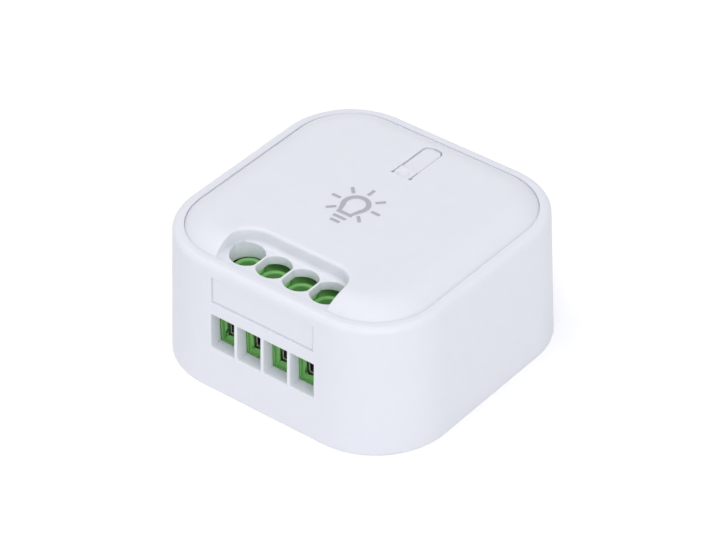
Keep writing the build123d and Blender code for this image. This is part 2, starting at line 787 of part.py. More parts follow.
# Chips and small parts
bridge_rectifier = footed_chip(bridge_offset, chip_line, bridge_length, bridge_width, bridge_height)
save(bridge_rectifier, "bridge_rectifier")
converter_chip = footed_chip(converter_offset, chip_line, converter_length, converter_width, converter_height)
save(converter_chip, "converter_chip")
save(block(around(radio_side, radio_chip_width), around(radio_chip_line, radio_chip_width),
           (radio_board_top, radio_board_top + radio_chip_height)), "radio_chip")
save(block(around(radio_side, crystal_length), around(crystal_line, crystal_width),
           (radio_board_top, radio_board_top + crystal_height)), "crystal")
save(block(around(antenna_offset, antenna_length), around(antenna_line, antenna_width),
           (radio_board_top, radio_board_top + antenna_height)), "chip_antenna")
save(block(around(key_centre, light_length), around(dimple_line, light_width),
           (radio_board_top, light_top)), "status_light")

# Push switch
switch_ends = (around(key_centre, switch_width), around(switch_line, switch_width))
switch_body = block(*switch_ends, (radio_board_top, switch_top))
bore_bottom = switch_top - plunger_depth - plunger_travel - plunger_room
plunger_bore = plunger_diameter + 2 * plunger_fit
switch_body -= upright(key_centre, switch_line, plunger_bore, bore_bottom, switch_top + root)
for side in (-1, 1):
    leg_root = key_centre + side * (switch_width / 2 - root)
    leg_end = key_centre + side * (switch_width / 2 + switch_leg)
    switch_body += block((leg_root, leg_end), around(switch_line, switch_leg),
                         (radio_board_top, radio_board_top + switch_cover_thickness))
save(switch_body, "switch_body")
switch_cover = block(*switch_ends, (switch_top, switch_top + switch_cover_thickness))
switch_cover -= upright(key_centre, switch_line, plunger_bore + 2 * switch_cover_gap,
                        switch_top - root, plunger_top)
save(switch_cover, "switch_cover")
switch_plunger = upright(key_centre, switch_line, plunger_diameter, switch_top - plunger_depth, plunger_top)
save(switch_plunger, "switch_plunger")
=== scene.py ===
"""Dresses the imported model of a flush-mounted lighting module and sets it on a plain stage."""
from math import cos, hypot, pi, radians, sin, tau

import bmesh
import bpy
from bpy.props import FloatProperty, FloatVectorProperty, IntProperty, PointerProperty, StringProperty
from mathutils import Matrix, Vector


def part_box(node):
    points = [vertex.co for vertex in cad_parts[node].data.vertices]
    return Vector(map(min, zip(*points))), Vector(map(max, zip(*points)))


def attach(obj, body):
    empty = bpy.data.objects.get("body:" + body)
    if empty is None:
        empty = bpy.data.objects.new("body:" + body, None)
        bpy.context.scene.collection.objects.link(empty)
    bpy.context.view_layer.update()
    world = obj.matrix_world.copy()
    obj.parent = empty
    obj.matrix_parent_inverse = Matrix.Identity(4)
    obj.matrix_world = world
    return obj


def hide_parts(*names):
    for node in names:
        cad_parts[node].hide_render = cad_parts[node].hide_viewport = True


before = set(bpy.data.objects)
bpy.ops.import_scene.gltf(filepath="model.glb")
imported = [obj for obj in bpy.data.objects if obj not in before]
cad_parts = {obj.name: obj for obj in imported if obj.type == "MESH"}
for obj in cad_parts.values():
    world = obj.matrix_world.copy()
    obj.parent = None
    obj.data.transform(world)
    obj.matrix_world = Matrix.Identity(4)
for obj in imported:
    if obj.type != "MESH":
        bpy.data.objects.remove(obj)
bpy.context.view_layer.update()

bl_info = {
    "name": "Lighting Module",
    "version": (1, 0, 0),
    "blender": (4, 5, 0),
    "location": "View3D > Sidebar > Lighting Module",
    "description": "Dresses a flush-mounted lighting module: mouldings, print, terminals and electronics",
    "category": "Object",
}

mm = 0.001
POLES = (1, 2, 3, 4)
POLE_PITCH = 5.08 * mm
LID_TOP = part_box("lid")[1][2]
HOUSING_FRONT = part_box("terminal_housing")[0][1]
BOARD_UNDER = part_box("main_board")[0][2]
BOARD_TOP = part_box("main_board")[1][2]
RADIO_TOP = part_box("radio_board")[1][2]

# Landmarks of the solids, and how far the changes to their copies go there
FRONT_ZONE = -19.35 * mm
WALL_STEP = -20.6 * mm
WALL_STEP_MOVED = -21.15 * mm
WALL_THINNED = 0.496
WALL_STRETCHED = 2.0
COLLAR_FOOT = 16.8 * mm
COLLAR_FRONT = -20.5 * mm
THROAT_HALF = 1.6 * mm
THROAT_WIDENED = 1.125
THROAT_BACK = -19.5 * mm
THROAT_LOW, THROAT_HIGH = 8.6 * mm, 12.0 * mm
THROAT_FLOOR = 8.8 * mm
THROAT_FLOOR_MOVED = 8.0 * mm
FRAME_FRONT, FRAME_BACK = -21.2 * mm, -20.9 * mm
FRAME_HALF = 12.0 * mm
FRAME_TOP = 16.0 * mm
LABEL_FOOT = 15.5 * mm
LABEL_WALL = -22.0 * mm
HOUSING_TOP = 17.9 * mm
LID_COLLAR_BACK = -14.0 * mm
LID_COLLAR_END = 19.7 * mm
LID_COLLAR_SLOPE_START = -7.6 * mm
LID_COLLAR_SLOPE = 0.36
LID_SIDE = 21.8 * mm
CASING_RIM = 22.2 * mm
RIM_FOOT = 20.0 * mm
TROUGH_HALF = 11.4 * mm
TROUGH_FRONT, TROUGH_BACK = -21.9 * mm, -13.4 * mm
TROUGH_FLOOR = 22.0 * mm
TROUGH_LIP = 22.95 * mm
TROUGH_FADE_START, TROUGH_FADE_LENGTH = -21.2 * mm, 1.2 * mm
TROUGH_WIDE_START, TROUGH_WIDE_LENGTH = -17.4 * mm, 3.1 * mm
SEAM_CLOSED = 1.0033
FRAME_GAP = 0.15 * mm
NEAR = 0.02 * mm

# Merging and shading of the copies: a face with more than the plain corners is split into triangles,
# and a face is level where the upright part of its normal is over a limit
MERGE_REACH = 0.002 * mm
FINE_MERGE_REACH = 0.0005 * mm
FLAT_ANGLE = radians(0.3)
FAINT_ANGLE = radians(0.5)
SHARP_ANGLE = radians(28)
BROAD_FACE = 2.5 * mm
PLAIN_CORNERS = 6
LEVEL = 0.9

# Sign: the bars under the bulb have a length, a width where it isn't the line's, and a place along y
BULB_STEPS = 40
NECK_ANGLE = -35
NECK_DROP = 2.4 * mm
NECK_INNER, NECK_OUTER = 0.86 * mm, 1.46 * mm
NECK_BAR = 2.86 * mm, 0.66 * mm, -2.73 * mm
BASE_BARS = (2.4 * mm, -3.95 * mm), (1.75 * mm, -5.05 * mm)
RAY_ANGLES = (0, 45, 90, 135, 180, 225, 315)
BAR_CORNER = 0.08 * mm
SIGN_MERGE_REACH = 0.001 * mm

# Screws: the thread's profile is in millimetres, as distance from the axis and height over the tip
SLOT_HALF = 0.3 * mm
SLOT_REACH = 0.6 * mm
HEAD_HEIGHT = 1.3 * mm
SHANK_REACH = 1.35 * mm
SHANK_DRAWN_IN = 0.82
THREAD_PITCH = 0.45 * mm
THREAD_STEPS = 20
THREAD_PROFILE = ((0.98, 0.12), (1.24, 0.29), (1.24, 0.33), (0.98, 0.5))

# Solder, leads and the winding: the solder's profile is in millimetres too, from the lead's axis
JOINT_REACH = 2.0 * mm
JOINT_STEPS = 16
SOLDER_PROFILE = ((0.88, 0.0), (0.86, 0.06), (0.6, 0.2), (0.45, 0.45), (0.38, 0.8), (0.0, 0.86))
LEAD_SPREAD = 1.3 * mm
LEAD_CUT = 0.3 * mm
VARISTOR_DISC = 7.6 * mm
CAPACITOR_CAN = 11.5 * mm
RESISTOR_LEAD = 1.95 * mm
CHIP_LEAD_TOP = 0.61 * mm
CHIP_LEAD_REACH = 0.99 * mm
WINDING_BORE = 2.02 * mm
WINDING_WIRE = 0.3 * mm
WINDING_STEPS = 48
WIRE_STEPS = 4


# Settings

class StageSettings(bpy.types.PropertyGroup):
    """The camera, the floor and the light."""
    camera_place: FloatVectorProperty(
        name="Camera place", description="Where the camera stands", subtype="TRANSLATION", unit="LENGTH",
        default=(0.265978, -0.332114, 0.333149), precision=5)
    camera_aim: FloatVectorProperty(
        name="Camera aim", description="The point that the camera looks at", subtype="TRANSLATION",
        unit="LENGTH", default=(-0.004361, 0.00424, 0.007709), precision=5)
    camera_roll: FloatProperty(
        name="Camera roll", description="Turn of the camera about its line of sight", unit="ROTATION",
        default=radians(-0.576))
    camera_lens: FloatProperty(
        name="Lens", description="Focal length for a sensor 36 mm wide", unit="CAMERA", default=175.888)
    floor_size: FloatProperty(
        name="Floor size", description="Width of the floor", unit="LENGTH", default=6.0)
    floor_glow: FloatProperty(
        name="Floor glow", description="Light that the floor adds for the camera, to look white",
        default=0.25)
    sky_strength: FloatProperty(
        name="Sky strength", description="Light that comes evenly from all round", default=0.6)
    lamp_power: FloatProperty(
        name="Lamp power", description="Power of the large lamp above the object", unit="POWER",
        default=1.3)
    lamp_size: FloatProperty(
        name="Lamp size", description="Width of the lamp above the object", unit="LENGTH", default=0.6)
    lamp_place: FloatVectorProperty(
        name="Lamp place", description="Where the lamp above the object hangs", subtype="TRANSLATION",
        unit="LENGTH", default=(-0.25, -0.1, 0.7))
    fill_power: FloatProperty(
        name="Fill power", description="Power of the large soft lamp on the camera's side", unit="POWER",
        default=4.9)
    fill_size: FloatProperty(
        name="Fill size", description="Width of the lamp on the camera's side", unit="LENGTH", default=0.9)
    fill_place: FloatVectorProperty(
        name="Fill place", description="Where the lamp on the camera's side stands", subtype="TRANSLATION",
        unit="LENGTH", default=(0.72, -0.68, 0.62))


class FinishSettings(bpy.types.PropertyGroup):
    """Colours and edge sizes of the moulded pieces."""
    white: StringProperty(
        name="White plastic", description="Colour of the casing, lid, key and base cover, as sRGB hex",
        default="E9EBF4")
    green: StringProperty(
        name="Green plastic", description="Colour of the terminal housing, as sRGB hex", default="7DC06B")
    ink: StringProperty(
        name="Printed grey", description="Colour of the print on the lid, as sRGB hex", default="B5B6C1")
    shell_edge: FloatProperty(
        name="Shell edge", description="Radius of the edges of the white mouldings", unit="LENGTH",
        default=0.22 * mm, precision=5)
    trough_edge: FloatProperty(
        name="Trough edge", description="Largest radius of the upper edge of the trough", unit="LENGTH",
        default=0.55 * mm, precision=5)
    trough_side_edge: FloatProperty(
        name="Trough side edge", description="Radius of the trough's upper edge at its two sides",
        unit="LENGTH", default=0.12 * mm, precision=5)
    trough_low_edge: FloatProperty(
        name="Trough low edge", description="Radius of the edges round the trough's floor", unit="LENGTH",
        default=0.05 * mm, precision=5)
    lid_edge: FloatProperty(
        name="Lid edge", description="Radius of the lid's other edges", unit="LENGTH", default=0.1 * mm,
        precision=5)
    seam_edge: FloatProperty(
        name="Seam edge", description="Radius of the edges where lid and casing meet", unit="LENGTH",
        default=0.03 * mm, precision=5)
    top_lift: FloatProperty(
        name="Top lift", description="How far the housing's flat top is raised round its collars",
        unit="LENGTH", default=1.0 * mm, precision=5)
    housing_edge: FloatProperty(
        name="Housing edge", description="Radius of the edges of the terminal housing", unit="LENGTH",
        default=0.12 * mm, precision=5)
    part_edge: FloatProperty(
        name="Component edge", description="Radius of the edges of metal and electronic pieces",
        unit="LENGTH", default=0.08 * mm, precision=5)
    edge_segments: IntProperty(
        name="Edge segments", description="Faces across each rounded edge", default=3, min=1)


class SignSettings(bpy.types.PropertyGroup):
    """The light bulb sign printed on the lid."""
    centre: FloatVectorProperty(
        name="Centre", description="Centre of the bulb on the lid", size=2, unit="LENGTH",
        default=(-0.55 * mm, -0.85 * mm), precision=5)
    bulb_radius: FloatProperty(
        name="Bulb radius", description="Middle of the bulb's line", unit="LENGTH", default=1.95 * mm,
        precision=5)
    bulb_line: FloatProperty(
        name="Bulb line", description="Width of the bulb's line", unit="LENGTH", default=0.8 * mm,
        precision=5)
    line: FloatProperty(
        name="Line", description="Width of the rays and base lines", unit="LENGTH", default=0.56 * mm,
        precision=5)
    ray_start: FloatProperty(
        name="Ray start", description="Distance from the centre to the near end of a ray", unit="LENGTH",
        default=2.95 * mm, precision=5)
    ray_end: FloatProperty(
        name="Ray end", description="Distance from the centre to the far end of a ray", unit="LENGTH",
        default=4.55 * mm, precision=5)
    thickness: FloatProperty(
        name="Ink thickness", description="Height of the print above the lid", unit="LENGTH",
        default=0.015 * mm, precision=6)


# Colours and nodes

def linear(code):
    """An sRGB hex colour as the linear colour that a shader takes."""
    parts = [int(code[place:place + 2], 16) / 255 for place in (0, 2, 4)]
    return [part / 12.92 if part <= 0.04045 else ((part + 0.055) / 1.055) ** 2.4 for part in parts] + [1.0]


def shaded(code, share):
    """The linear colour of a hex colour, darkened to a share of its light."""
    return [part * share for part in linear(code)[:3]] + [1.0]


def add(tree, kind, inputs=None, **settings):
    """Add a node, set its own settings, and give each named input a value or a link."""
    node = tree.nodes.new(kind)
    for name, value in settings.items():
        setattr(node, name, value)
    for name, value in (inputs or {}).items():
        if isinstance(value, bpy.types.NodeSocket):
            tree.links.new(value, node.inputs[name])
        else:
            node.inputs[name].default_value = value
    return node


def new_material(name):
    """An empty node material with its tree."""
    material = bpy.data.materials.new(name)
    material.use_nodes = True
    material.node_tree.nodes.clear()
    return material, material.node_tree


def finish_surface(tree, shader):
    """Link a shader to the material's output."""
    add(tree, "ShaderNodeOutputMaterial", {"Surface": shader.outputs[0]})


def speckled(tree, first, second, size, roughness, relief=0.02, stretch=(1.0, 1.0, 1.0)):
    """The sockets that most finishes share: two close tones, an uneven gloss and a fine relief."""
    place = add(tree, "ShaderNodeTexCoord").outputs["Object"]
    place = add(tree, "ShaderNodeMapping", {"Vector": place, "Scale": stretch}).outputs[0]
    cloud = add(tree, "ShaderNodeTexNoise", {"Vector": place, "Scale": 1 / (20 * size), "Detail": 3.0})
    fine = add(tree, "ShaderNodeTexNoise", {"Vector": place, "Scale": 1 / size, "Detail": 2.0})
    tone = add(tree, "ShaderNodeMix", {0: cloud.outputs["Fac"], 6: first, 7: second}, data_type="RGBA")
    gloss = add(tree, "ShaderNodeMapRange", {"Value": fine.outputs["Fac"], "To Min": roughness - 0.06,
                                             "To Max": roughness + 0.06})
    bump = add(tree, "ShaderNodeBump", {"Height": fine.outputs["Fac"], "Strength": 0.3,
                                        "Distance": relief * size})
    return {"Base Color": tone.outputs[2], "Roughness": gloss.outputs[0], "Normal": bump.outputs[0]}


def moulded_plastic(name, colour, grain, roughness, index=1.54, scatter=0.0):
    """A thermoplastic moulded in a spark-eroded steel tool.

    The tool leaves an even satin grain, so highlights are broad and soft. The colour is even but for a
    faint drift where the melt flowed and cooled. Light wanders a little way inside thin pale walls.
    """
    material, tree = new_material(name)
    sockets = speckled(tree, linear(colour), shaded(colour, 0.97), grain, roughness)
    sockets.update({"IOR": index, "Subsurface Weight": scatter, "Subsurface Scale": 0.8 * mm,
                    "Subsurface Radius": (1.0, 1.0, 1.0)})
    finish_surface(tree, add(tree, "ShaderNodeBsdfPrincipled", sockets))
    return material


def plated_metal(name, colour, roughness, grain, stretch=(1.0, 0.12, 1.0)):
    """A stamped, turned or rolled metal part with a thin plating.

    Plating keeps the fine drawing lines of the work before it, and its tint changes a little with its
    thickness.
    """
    material, tree = new_material(name)
    sockets = speckled(tree, linear(colour), shaded(colour, 0.82), grain, roughness, 0.05, stretch)
    sockets["Metallic"] = 1.0
    finish_surface(tree, add(tree, "ShaderNodeBsdfPrincipled", sockets))
    return material


def fired_or_dipped(name, colour, roughness, grain, coat=0.0, index=1.5, relief=0.06):
    """A ceramic body or a dipped resin coat: an uneven skin with small pits, glossy where it has a coat."""
    material, tree = new_material(name)
    sockets = speckled(tree, linear(colour), shaded(colour, 0.88), grain, roughness, relief)
    sockets.update({"IOR": index, "Coat Weight": coat, "Coat Roughness": 0.12})
    finish_surface(tree, add(tree, "ShaderNodeBsdfPrincipled", sockets))
    return material


def clear_plastic():
    """Injection-moulded clear acrylic: light passes along it, and its skin is nearly polished."""
    material, tree = new_material("moulded_clear_acrylic")
    sockets = speckled(tree, linear("F6F8FA"), linear("EDF1F5"), 0.1 * mm, 0.1)
    sockets.update({"IOR": 1.49, "Transmission Weight": 1.0})
    finish_surface(tree, add(tree, "ShaderNodeBsdfPrincipled", sockets))
    return material


def solder_mask():
    """Glass-fibre board under green solder mask: copper tracks show as paler, slightly raised lines.

    The cut edges show the straw-coloured laminate. Tracks are 0.3 mm wide, as on a mains board.
    """
    material, tree = new_material("glass_fibre_board_with_green_mask")
    place = add(tree, "ShaderNodeTexCoord").outputs["Object"]
    tracks = add(tree, "ShaderNodeTexBrick", {
        "Vector": place, "Color1": linear("1D6B3C"), "Color2": linear("1A6337"), "Mortar": linear("3C9058"),
        "Scale": 1.0, "Mortar Size": 0.15 * mm, "Mortar Smooth": 0.2, "Brick Width": 4.6 * mm,
        "Row Height": 2.1 * mm}, offset=0.37, squash=0.6, squash_frequency=3)
    normal = add(tree, "ShaderNodeNewGeometry").outputs["Normal"]
    upright = add(tree, "ShaderNodeSeparateXYZ", {0: normal}).outputs[2]
    flat = add(tree, "ShaderNodeMath", {0: upright}, operation="ABSOLUTE").outputs[0]
    flat = add(tree, "ShaderNodeMath", {0: flat, 1: 0.5}, operation="GREATER_THAN").outputs[0]
    weave = add(tree, "ShaderNodeTexNoise", {"Vector": place, "Scale": 1 / (0.2 * mm), "Detail": 3.0})
    laminate = add(tree, "ShaderNodeMix", {0: weave.outputs["Fac"], 6: linear("C9BC86"), 7: linear("A99A66")},
                   data_type="RGBA")
    tone = add(tree, "ShaderNodeMix", {0: flat, 6: laminate.outputs[2], 7: tracks.outputs["Color"]},
               data_type="RGBA")
    gloss = add(tree, "ShaderNodeMapRange", {"Value": flat, "To Min": 0.7, "To Max": 0.3})
    bump = add(tree, "ShaderNodeBump", {"Height": tracks.outputs["Fac"], "Strength": 0.6,
                                        "Distance": 0.03 * mm})
    finish_surface(tree, add(tree, "ShaderNodeBsdfPrincipled", {
        "Base Color": tone.outputs[2], "Roughness": gloss.outputs[0], "Normal": bump.outputs[0],
        "IOR": 1.52}))
    return material


def banded_coating(low, high):
    """Fired grey-green coating of a fusible resistor with four painted colour bands along its length."""
    material, tree = new_material("fired_coating_with_colour_bands")
    place = add(tree, "ShaderNodeTexCoord").outputs["Object"]
    along = add(tree, "ShaderNodeSeparateXYZ", {0: place}).outputs[1]
    along = add(tree, "ShaderNodeMapRange", {"Value": along, "From Min": low, "From Max": high}).outputs[0]
    ramp = add(tree, "ShaderNodeValToRGB", {"Fac": along})
    ramp.color_ramp.interpolation = "CONSTANT"
    coat = "7F8F86"
    stops = ((0.0, coat), (0.14, "6B3F22"), (0.24, coat), (0.34, "1B1B1D"), (0.44, coat), (0.54, "1B1B1D"),
             (0.64, coat), (0.8, "B3913E"), (0.9, coat))
    points = ramp.color_ramp.elements
    while len(points) < len(stops):
        points.new(0.5)
    for point, (share, code) in zip(points, stops):
        point.position = share
        point.color = linear(code)
    pits = add(tree, "ShaderNodeTexNoise", {"Vector": place, "Scale": 1 / (0.15 * mm), "Detail": 2.0})
    bump = add(tree, "ShaderNodeBump", {"Height": pits.outputs["Fac"], "Strength": 0.4,
                                        "Distance": 0.02 * mm})
    finish_surface(tree, add(tree, "ShaderNodeBsdfPrincipled", {
        "Base Color": ramp.outputs["Color"], "Normal": bump.outputs[0], "Roughness": 0.5, "IOR": 1.5,
        "Coat Weight": 0.3, "Coat Roughness": 0.2}))
    return material


def screen_ink(colour):
    """Pad-printed ink: flat and matt, a touch uneven where the pad lifted."""
    material, tree = new_material("pad_printed_grey_ink")
    sockets = speckled(tree, linear(colour), shaded(colour, 0.94), 0.06 * mm, 0.6)
    finish_surface(tree, add(tree, "ShaderNodeBsdfPrincipled", sockets))
    return material


# Shapes

def forward(place):
    """Where a place along y in the front zone of the terminals moves: nearer to the wire openings."""
    if place > FRONT_ZONE:
        return place
    stretch = WALL_THINNED if place > WALL_STEP else WALL_STRETCHED
    return WALL_STEP_MOVED + stretch * (place - WALL_STEP)


def bring_forward(form):
    """Thin the front wall of a form of the terminals and bring it nearer to the wire openings."""
    for vert in form.verts:
        if vert.co.z < COLLAR_FOOT or vert.co.y < COLLAR_FRONT:
            vert.co.y = forward(vert.co.y)


def widen_throats(form):
    """Widen and deepen the throats that lead a wire from each opening into its clamp."""
    for vert in form.verts:
        if vert.co.y < THROAT_BACK and THROAT_LOW < vert.co.z < THROAT_HIGH:
            for index in POLES:
                centre = (index - 2.5) * POLE_PITCH
                if abs(abs(vert.co.x - centre) - THROAT_HALF) < NEAR:
                    vert.co.x = centre + THROAT_WIDENED * (vert.co.x - centre)
            if vert.co.z < THROAT_FLOOR:
                vert.co.z = THROAT_FLOOR_MOVED


def new_piece(form, name, materials, body="module", nodes=()):
    """Turn a bmesh into a piece that rides on a body and, where named, stands for CAD nodes."""
    mesh = bpy.data.meshes.new(name)
    form.to_mesh(mesh)
    form.free()
    piece = bpy.data.objects.new(name, mesh)
    bpy.context.scene.collection.objects.link(piece)
    for material in materials:
        mesh.materials.append(material)
    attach(piece, body)
    if nodes:
        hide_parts(*nodes)
    return piece


def merged_form(node, *changes):
    """A copy of a CAD node's mesh with its loose triangles merged, changed, and its flat faces joined."""
    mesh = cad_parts[node].data.copy()
    if "custom_normal" in mesh.attributes:
        mesh.attributes.remove(mesh.attributes["custom_normal"])
    form = bmesh.new()
    form.from_mesh(mesh)
    bpy.data.meshes.remove(mesh)
    bmesh.ops.remove_doubles(form, verts=form.verts, dist=MERGE_REACH)
    for change in changes:
        change(form)
    bmesh.ops.dissolve_limit(form, angle_limit=FLAT_ANGLE, verts=form.verts, edges=form.edges)
    for face in form.faces:
        face.material_index = 0
    return form


def soften(piece, radius, segments=3):
    """Shade a piece smooth, keep the faint creases between its broad faces and round its sharp edges.

    The radius is one length, or a function that gives the length for the middle of an edge.
    """
    form = bmesh.new()
    form.from_mesh(piece.data)
    for face in form.faces:
        face.smooth = True
    weights = form.edges.layers.float.new("bevel_weight_edge")
    rounds = {}
    for edge in form.edges:
        if len(edge.link_faces) != 2:
            continue
        bend = edge.calc_face_angle()
        if bend > SHARP_ANGLE:
            middle = (edge.verts[0].co + edge.verts[1].co) / 2
            rounds[edge] = radius(middle) if callable(radius) else radius
        elif bend > FAINT_ANGLE:
            breadth = min(face.calc_area() for face in edge.link_faces) / edge.calc_length()
            edge.smooth = breadth < BROAD_FACE
    bevel = piece.modifiers.new("Rounded edges", "BEVEL")
    bevel.width = max(rounds.values())
    bevel.limit_method = "WEIGHT"
    bevel.segments = segments
    bevel.use_clamp_overlap = False
    bevel.loop_slide = False
    for edge, length in rounds.items():
        edge[weights] = length / bevel.width
    form.to_mesh(piece.data)
    form.free()
    even = piece.modifiers.new("Even shading", "WEIGHTED_NORMAL")
    even.keep_sharp = True


def dressed(node, materials, edge, segments=2, test=None, body="module"):
    """A component with its edges eased, and the second material where the middle of a face passes a test."""
    form = merged_form(node)
    for face in form.faces:
        if test and test(face.calc_center_median()):
            face.material_index = 1
    soften(new_piece(form, node + "_finished", materials, body, (node,)), edge, segments)


# Operators

class MODULE_OT_stage(bpy.types.Operator):
    """Set up the floor, the light and the camera"""
    bl_idname = "lighting_module.stage"
    bl_label = "Stage"

    def execute(self, context):
        scene = context.scene
        settings = scene.module_stage
        scene.view_settings.view_transform = "Standard"
        self.floor(scene, settings)
        self.sky(scene, settings)
        self.lamp(scene, "large_soft_lamp", settings.lamp_power, settings.lamp_size, settings.lamp_place)
        self.lamp(scene, "soft_fill_lamp", settings.fill_power, settings.fill_size, settings.fill_place)
        self.camera(scene, settings)
        return {"FINISHED"}

    def floor(self, scene, settings):
        form = bmesh.new()
        bmesh.ops.create_grid(form, x_segments=1, y_segments=1, size=settings.floor_size / 2)
        mesh = bpy.data.meshes.new("floor")
        form.to_mesh(mesh)
        form.free()
        floor = bpy.data.objects.new("floor", mesh)
        scene.collection.objects.link(floor)
        mesh.materials.append(self.paper(settings.floor_glow))

    def seen(self, tree):
        """A value of 1 for what the camera sees straight on, in gloss or through clear plastic."""
        rays = add(tree, "ShaderNodeLightPath").outputs
        seen = add(tree, "ShaderNodeMath", {0: rays["Is Camera Ray"], 1: rays["Is Glossy Ray"]},
                   operation="MAXIMUM")
        seen = add(tree, "ShaderNodeMath", {0: seen.outputs[0], 1: rays["Is Transmission Ray"]},
                   operation="MAXIMUM")
        return seen.outputs[0]

    def paper(self, strength):
        """Matt white background paper: it keeps a soft shadow and looks white to the camera."""
        material, tree = new_material("white_background_paper")
        matt = add(tree, "ShaderNodeBsdfDiffuse", {"Color": linear("F2F2F4")})
        glow = add(tree, "ShaderNodeEmission", {"Color": linear("FFFFFF"), "Strength": strength})
        both = add(tree, "ShaderNodeAddShader", {0: matt.outputs[0], 1: glow.outputs[0]})
        finish_surface(tree, add(tree, "ShaderNodeMixShader", {0: self.seen(tree), 1: matt.outputs[0],
                                                               2: both.outputs[0]}))
        return material

    def sky(self, scene, settings):
        world = bpy.data.worlds.new("white_studio")
        scene.world = world
        world.use_nodes = True
        tree = world.node_tree
        tree.nodes.clear()
        sky = add(tree, "ShaderNodeBackground", {"Color": linear("FFFFFF"),
                                                 "Strength": settings.sky_strength})
        backdrop = add(tree, "ShaderNodeBackground", {"Color": linear("FFFFFF"), "Strength": 1.0})
        chosen = add(tree, "ShaderNodeMixShader", {0: self.seen(tree), 1: sky.outputs[0],
                                                   2: backdrop.outputs[0]})
        add(tree, "ShaderNodeOutputWorld", {"Surface": chosen.outputs[0]})

    def lamp(self, scene, name, power, size, place):
        data = bpy.data.lights.new(name, "AREA")
        data.shape = "SQUARE"
        data.size = size
        data.energy = power
        lamp = bpy.data.objects.new(name, data)
        scene.collection.objects.link(lamp)
        lamp.location = place
        lamp.rotation_euler = Vector(place).to_track_quat("Z", "Y").to_euler()

    def camera(self, scene, settings):
        data = bpy.data.cameras.new("camera")
        data.sensor_width = 36.0
        data.lens = settings.camera_lens
        data.clip_start = 10 * mm
        data.clip_end = 20.0
        camera = bpy.data.objects.new("camera", data)
        scene.collection.objects.link(camera)
        place = Vector(settings.camera_place)
        back = place - Vector(settings.camera_aim)
        turn = back.to_track_quat("Z", "Y").to_matrix() @ Matrix.Rotation(settings.camera_roll, 3, "Z")
        camera.matrix_world = Matrix.LocRotScale(place, turn.to_quaternion(), None)
        scene.camera = camera


class MODULE_OT_shells(bpy.types.Operator):
    """Make the white mouldings: casing, base cover, lid and pairing key"""
    bl_idname = "lighting_module.shells"
    bl_label = "White mouldings"

    def execute(self, context):
        settings = context.scene.module_finish
        plastic = moulded_plastic("moulded_white_abs", settings.white, 0.12 * mm, 0.46, scatter=0.35)
        rounds = {"casing": self.casing_edge, "lid": self.lid_edge, "pairing_key": settings.seam_edge}
        changes = {"casing": (self.shorten_tunnels,), "lid": (self.tighten_lid,)}
        bodies = {"casing": "module", "base_cover": "module", "lid": "module", "pairing_key": "key"}
        for node, body in bodies.items():
            form = merged_form(node, *changes.get(node, ()))
            piece = new_piece(form, node + "_moulding", [plastic], body, (node,))
            soften(piece, rounds.get(node, settings.shell_edge), settings.edge_segments)
        return {"FINISHED"}

    def shorten_tunnels(self, form):
        """Bring the inner frame of the wire openings forward with the terminal housing's front."""
        for vert in form.verts:
            in_frame = abs(vert.co.x) < FRAME_HALF and vert.co.z < FRAME_TOP
            if in_frame and FRAME_FRONT < vert.co.y < FRAME_BACK:
                vert.co.y = forward(HOUSING_FRONT) - FRAME_GAP

    def tighten_lid(self, form):
        """Close the seam round the lid to a hair, and slope the end of the collar under the first hole."""
        bmesh.ops.scale(form, vec=(SEAM_CLOSED, SEAM_CLOSED, 1.0), verts=form.verts)
        for vert in form.verts:
            at_end = vert.co.y < LID_COLLAR_BACK and abs(vert.co.z - LID_COLLAR_END) < NEAR
            if at_end and vert.co.x > LID_COLLAR_SLOPE_START:
                vert.co.z += LID_COLLAR_SLOPE * (vert.co.x - LID_COLLAR_SLOPE_START)

    def casing_edge(self, place):
        """The radius for an edge of the casing: fine at the lid's seam and round the label field."""
        settings = bpy.context.scene.module_finish
        at_seam = place.z > RIM_FOOT and max(abs(place.x), abs(place.y)) < CASING_RIM
        at_label = place.y < LABEL_WALL and place.z > LABEL_FOOT
        return settings.seam_edge if at_seam or at_label else settings.shell_edge

    def lid_edge(self, place):
        """The radius for an edge of the lid: fine at the seam, and wide where the trough's wall is high."""
        settings = bpy.context.scene.module_finish
        in_trough = abs(place.x) < TROUGH_HALF and TROUGH_FRONT < place.y < TROUGH_BACK
        if in_trough and place.z > TROUGH_FLOOR:
            if place.z < TROUGH_LIP:
                return settings.trough_low_edge
            front = min(1.0, max(0.0, (place.y - TROUGH_FADE_START) / TROUGH_FADE_LENGTH))
            high = min(1.0, max(0.0, (place.y - TROUGH_WIDE_START) / TROUGH_WIDE_LENGTH))
            side = settings.trough_side_edge
            fine = settings.seam_edge + front * (side - settings.seam_edge)
            return fine + high * (settings.trough_edge - side)
        if max(abs(place.x), abs(place.y)) > LID_SIDE or place.z < TROUGH_FLOOR:
            return settings.seam_edge
        return settings.lid_edge


